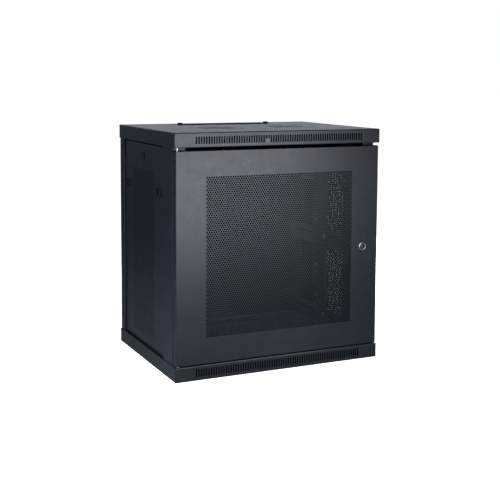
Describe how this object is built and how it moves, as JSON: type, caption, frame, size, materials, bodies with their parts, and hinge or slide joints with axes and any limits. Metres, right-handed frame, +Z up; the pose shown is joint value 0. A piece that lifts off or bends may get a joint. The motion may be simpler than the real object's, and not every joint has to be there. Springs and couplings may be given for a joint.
{
  "type": "network rack cabinet",
  "caption": "Wall-mounted 19-inch network rack cabinet with a perforated hinged door, removable side panels, sliding rails, top fans and a sliding cable cover.",
  "frame": {"origin": "centre of the underside of the base, on the plane that it stands on", "axes": "+X to the right seen from the front, +Y from the door to the wall, +Z up"},
  "size_m": [0.6, 0.4523, 0.6455],
  "materials": {
    "black_powder_coat": "fine-textured semi-gloss black powder coat on folded steel sheet",
    "dark_plastic": "moulded black plastic",
    "zinc_plated_steel": "bright zinc or nickel plated steel",
    "fan_plastic": "moulded black plastic"
  },
  "bodies": {
    "cabinet": {"top_cover": "black_powder_coat", "top_fascia": "black_powder_coat", "base_tray": "black_powder_coat", "base_fascia": "black_powder_coat", "floor_panel": "black_powder_coat", "back_panel": "black_powder_coat", "front_top_beam": "black_powder_coat", "front_bottom_beam": "black_powder_coat", "ground_stud": "zinc_plated_steel", "fan_frame_left": "fan_plastic", "fan_frame_right": "fan_plastic", "front_post_left": "black_powder_coat", "rear_post_left": "black_powder_coat", "side_top_beam_left": "black_powder_coat", "side_bottom_beam_left": "black_powder_coat", "carrier_lower_left": "black_powder_coat", "carrier_middle_left": "black_powder_coat", "carrier_upper_left": "black_powder_coat", "front_post_right": "black_powder_coat", "rear_post_right": "black_powder_coat", "side_top_beam_right": "black_powder_coat", "side_bottom_beam_right": "black_powder_coat", "carrier_lower_right": "black_powder_coat", "carrier_middle_right": "black_powder_coat", "carrier_upper_right": "black_powder_coat"},
    "door": {"door_panel": "black_powder_coat", "door_stiffener_left": "black_powder_coat", "door_stiffener_right": "black_powder_coat", "hinge_pin_holder": "black_powder_coat", "hinge_pin_lower": "zinc_plated_steel", "door_lock_housing": "zinc_plated_steel", "door_lock_nut": "zinc_plated_steel"},
    "door_lock": {"door_lock_plug": "zinc_plated_steel", "door_lock_cam": "zinc_plated_steel"},
    "hinge_pin": {"hinge_pin_upper": "zinc_plated_steel"},
    "panel_left": {"side_panel_left": "black_powder_coat", "side_lock_housing_left": "zinc_plated_steel", "latch_tub_front_left": "dark_plastic", "latch_tub_rear_left": "dark_plastic"},
    "panel_lock_left": {"side_lock_plug_left": "zinc_plated_steel", "side_lock_cam_left": "zinc_plated_steel"},
    "latch_front_left": {"latch_slider_front_left": "dark_plastic"},
    "rail_front_left": {"rail_front_left": "black_powder_coat"},
    "latch_rear_left": {"latch_slider_rear_left": "dark_plastic"},
    "rail_rear_left": {"rail_rear_left": "black_powder_coat"},
    "fan_left": {"fan_rotor_left": "fan_plastic"},
    "thumbscrew_left": {"thumbscrew_left": "dark_plastic"},
    "panel_right": {"side_panel_right": "black_powder_coat", "side_lock_housing_right": "zinc_plated_steel", "latch_tub_front_right": "dark_plastic", "latch_tub_rear_right": "dark_plastic"},
    "panel_lock_right": {"side_lock_plug_right": "zinc_plated_steel", "side_lock_cam_right": "zinc_plated_steel"},
    "latch_front_right": {"latch_slider_front_right": "dark_plastic"},
    "rail_front_right": {"rail_front_right": "black_powder_coat"},
    "latch_rear_right": {"latch_slider_rear_right": "dark_plastic"},
    "rail_rear_right": {"rail_rear_right": "black_powder_coat"},
    "fan_right": {"fan_rotor_right": "fan_plastic"},
    "thumbscrew_right": {"thumbscrew_right": "dark_plastic"},
    "cable_cover": {"cable_cover": "black_powder_coat"}
  },
  "joints": [
    {"name": "door_hinge", "type": "hinge", "parent": "cabinet", "child": "door", "pos_m": [-0.29, -0.215, 0.317], "axis": [0, 0, -1], "range_deg": [0, 180]},
    {"name": "door_lock_turn", "type": "hinge", "parent": "door", "child": "door_lock", "pos_m": [0.25, -0.225, 0.317], "axis": [0, 1, 0], "range_deg": [0, 90]},
    {"name": "hinge_pin_pull", "type": "slide", "parent": "door", "child": "hinge_pin", "axis": [0, 0, -1], "range_m": [0, 0.009], "stiffness_N_per_m": 800, "springref_m": -0.005},
    {"name": "cable_cover_slide", "type": "slide", "parent": "cabinet", "child": "cable_cover", "axis": [0, 1, 0], "range_m": [0, 0.048]},
    {"name": "panel_left_out", "type": "slide", "parent": "cabinet", "child": "panel_left", "axis": [-1, 0, 0], "range_m": [0, 0.15]},
    {"name": "panel_lock_left_turn", "type": "hinge", "parent": "panel_left", "child": "panel_lock_left", "pos_m": [-0.293, 0.0335, 0.562], "axis": [1, 0, 0], "range_deg": [0, 90]},
    {"name": "latch_front_left_slide", "type": "slide", "parent": "panel_left", "child": "latch_front_left", "axis": [0, -1, 0], "range_m": [0, 0.008]},
    {"name": "latch_rear_left_slide", "type": "slide", "parent": "panel_left", "child": "latch_rear_left", "axis": [0, 1, 0], "range_m": [0, 0.008]},
    {"name": "rail_front_left_depth", "type": "slide", "parent": "cabinet", "child": "rail_front_left", "axis": [0, 1, 0], "range_m": [-0.02, 0.04]},
    {"name": "rail_rear_left_depth", "type": "slide", "parent": "cabinet", "child": "rail_rear_left", "axis": [0, 1, 0], "range_m": [-0.04, 0.145]},
    {"name": "fan_left_spin", "type": "hinge", "parent": "cabinet", "child": "fan_left", "pos_m": [-0.105, -0.034, 0.6265], "axis": [0, 0, 1], "continuous": true},
    {"name": "thumbscrew_left_turn", "type": "hinge", "parent": "cable_cover", "child": "thumbscrew_left", "pos_m": [-0.138, 0.158, 0.64], "axis": [0, 0, 1], "range_deg": [0, 180]},
    {"name": "panel_right_out", "type": "slide", "parent": "cabinet", "child": "panel_right", "axis": [1, 0, 0], "range_m": [0, 0.15]},
    {"name": "panel_lock_right_turn", "type": "hinge", "parent": "panel_right", "child": "panel_lock_right", "pos_m": [0.293, 0.0335, 0.562], "axis": [1, 0, 0], "range_deg": [0, 90]},
    {"name": "latch_front_right_slide", "type": "slide", "parent": "panel_right", "child": "latch_front_right", "axis": [0, -1, 0], "range_m": [0, 0.008]},
    {"name": "latch_rear_right_slide", "type": "slide", "parent": "panel_right", "child": "latch_rear_right", "axis": [0, 1, 0], "range_m": [0, 0.008]},
    {"name": "rail_front_right_depth", "type": "slide", "parent": "cabinet", "child": "rail_front_right", "axis": [0, 1, 0], "range_m": [-0.02, 0.04]},
    {"name": "rail_rear_right_depth", "type": "slide", "parent": "cabinet", "child": "rail_rear_right", "axis": [0, 1, 0], "range_m": [-0.04, 0.145]},
    {"name": "fan_right_spin", "type": "hinge", "parent": "cabinet", "child": "fan_right", "pos_m": [0.105, -0.034, 0.6265], "axis": [0, 0, 1], "continuous": true},
    {"name": "thumbscrew_right_turn", "type": "hinge", "parent": "cable_cover", "child": "thumbscrew_right", "pos_m": [0.138, 0.158, 0.64], "axis": [0, 0, 1], "range_deg": [0, 180]}
  ]
}
